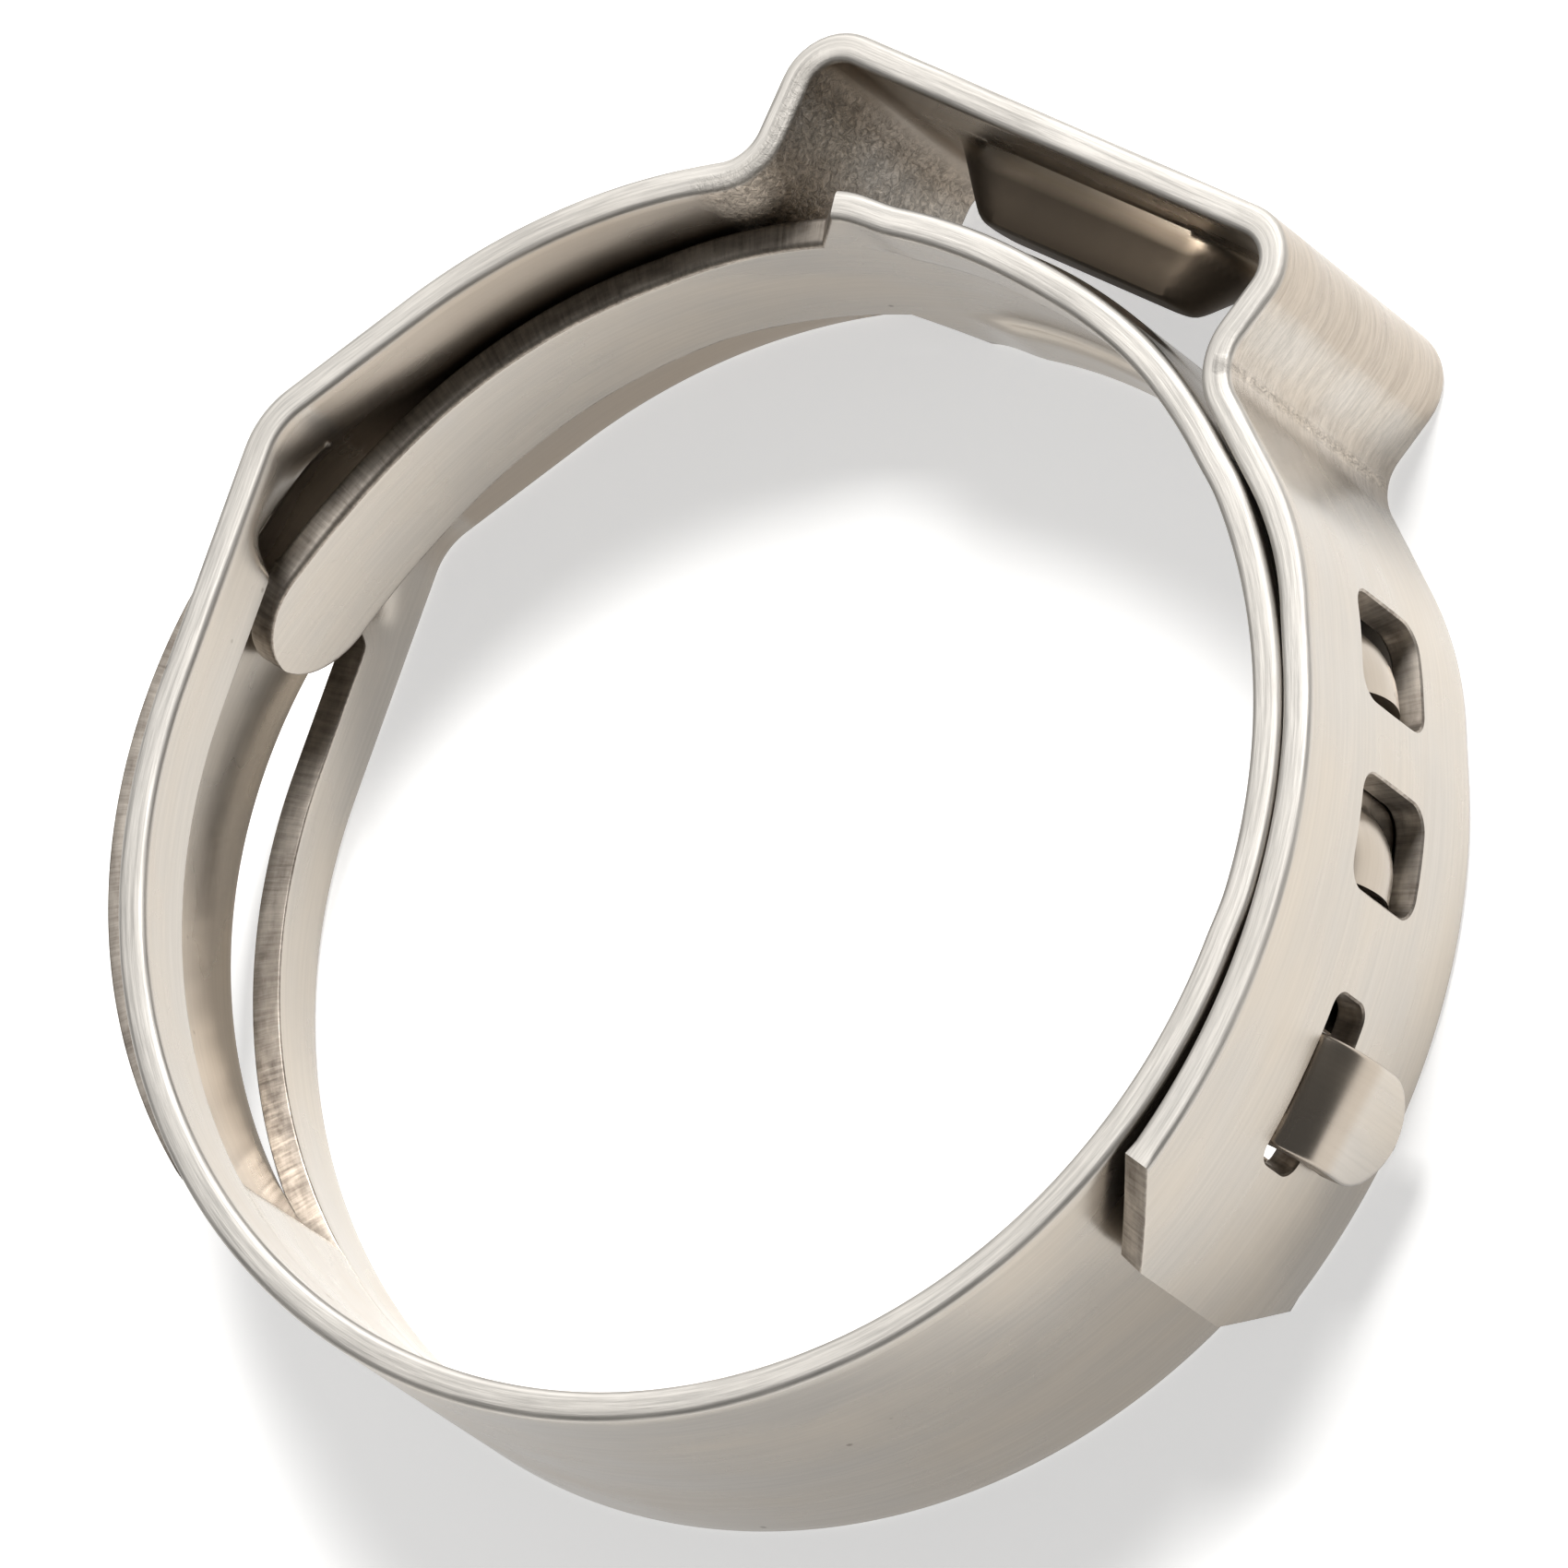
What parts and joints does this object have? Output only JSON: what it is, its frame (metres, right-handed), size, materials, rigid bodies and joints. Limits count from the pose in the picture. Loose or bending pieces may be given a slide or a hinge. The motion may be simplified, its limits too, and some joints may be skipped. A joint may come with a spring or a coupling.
{
  "type": "ear hose clamp",
  "caption": "Ring of wound steel strip with a pinch ear, hooked overlap and a tongue that closes the gap under the ear, for clamping a hose or pipe on a fitting.",
  "frame": {"origin": "centre of the ring's bore, in the plane of the edge that it lies on", "axes": "+Z along the axis of the bore, +Y towards the ear, +X towards the overlap with its windows and tab"},
  "size_m": [0.0272, 0.0268, 0.007],
  "materials": {
    "clamp_band": "satin, rolled strip with sheared slits"
  },
  "bodies": {
    "root": {"clamp_band": "clamp_band"}
  },
  "joints": []
}
